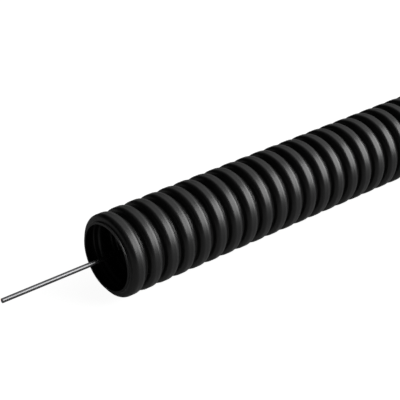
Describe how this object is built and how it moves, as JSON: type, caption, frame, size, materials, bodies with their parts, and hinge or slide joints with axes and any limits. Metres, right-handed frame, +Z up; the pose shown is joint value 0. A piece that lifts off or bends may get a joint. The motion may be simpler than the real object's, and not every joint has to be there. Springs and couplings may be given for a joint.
{
  "type": "corrugated conduit",
  "caption": "Straight length of flexible corrugated plastic conduit with ring-shaped waves, cut square at both ends, with a steel draw wire lying in it.",
  "frame": {"origin": "centre of the near cut end, on the conduit's axis; the conduit lies on the plane 10 mm below it", "axes": "+X along the conduit from the near cut end to the far one, +Z up as the conduit lies"},
  "size_m": [1.0546, 0.02, 0.02],
  "materials": {
    "conduit_plastic": "satin",
    "wire_steel": "satin"
  },
  "bodies": {
    "root": {"conduit": "conduit_plastic", "draw_wire": "wire_steel"}
  },
  "joints": []
}
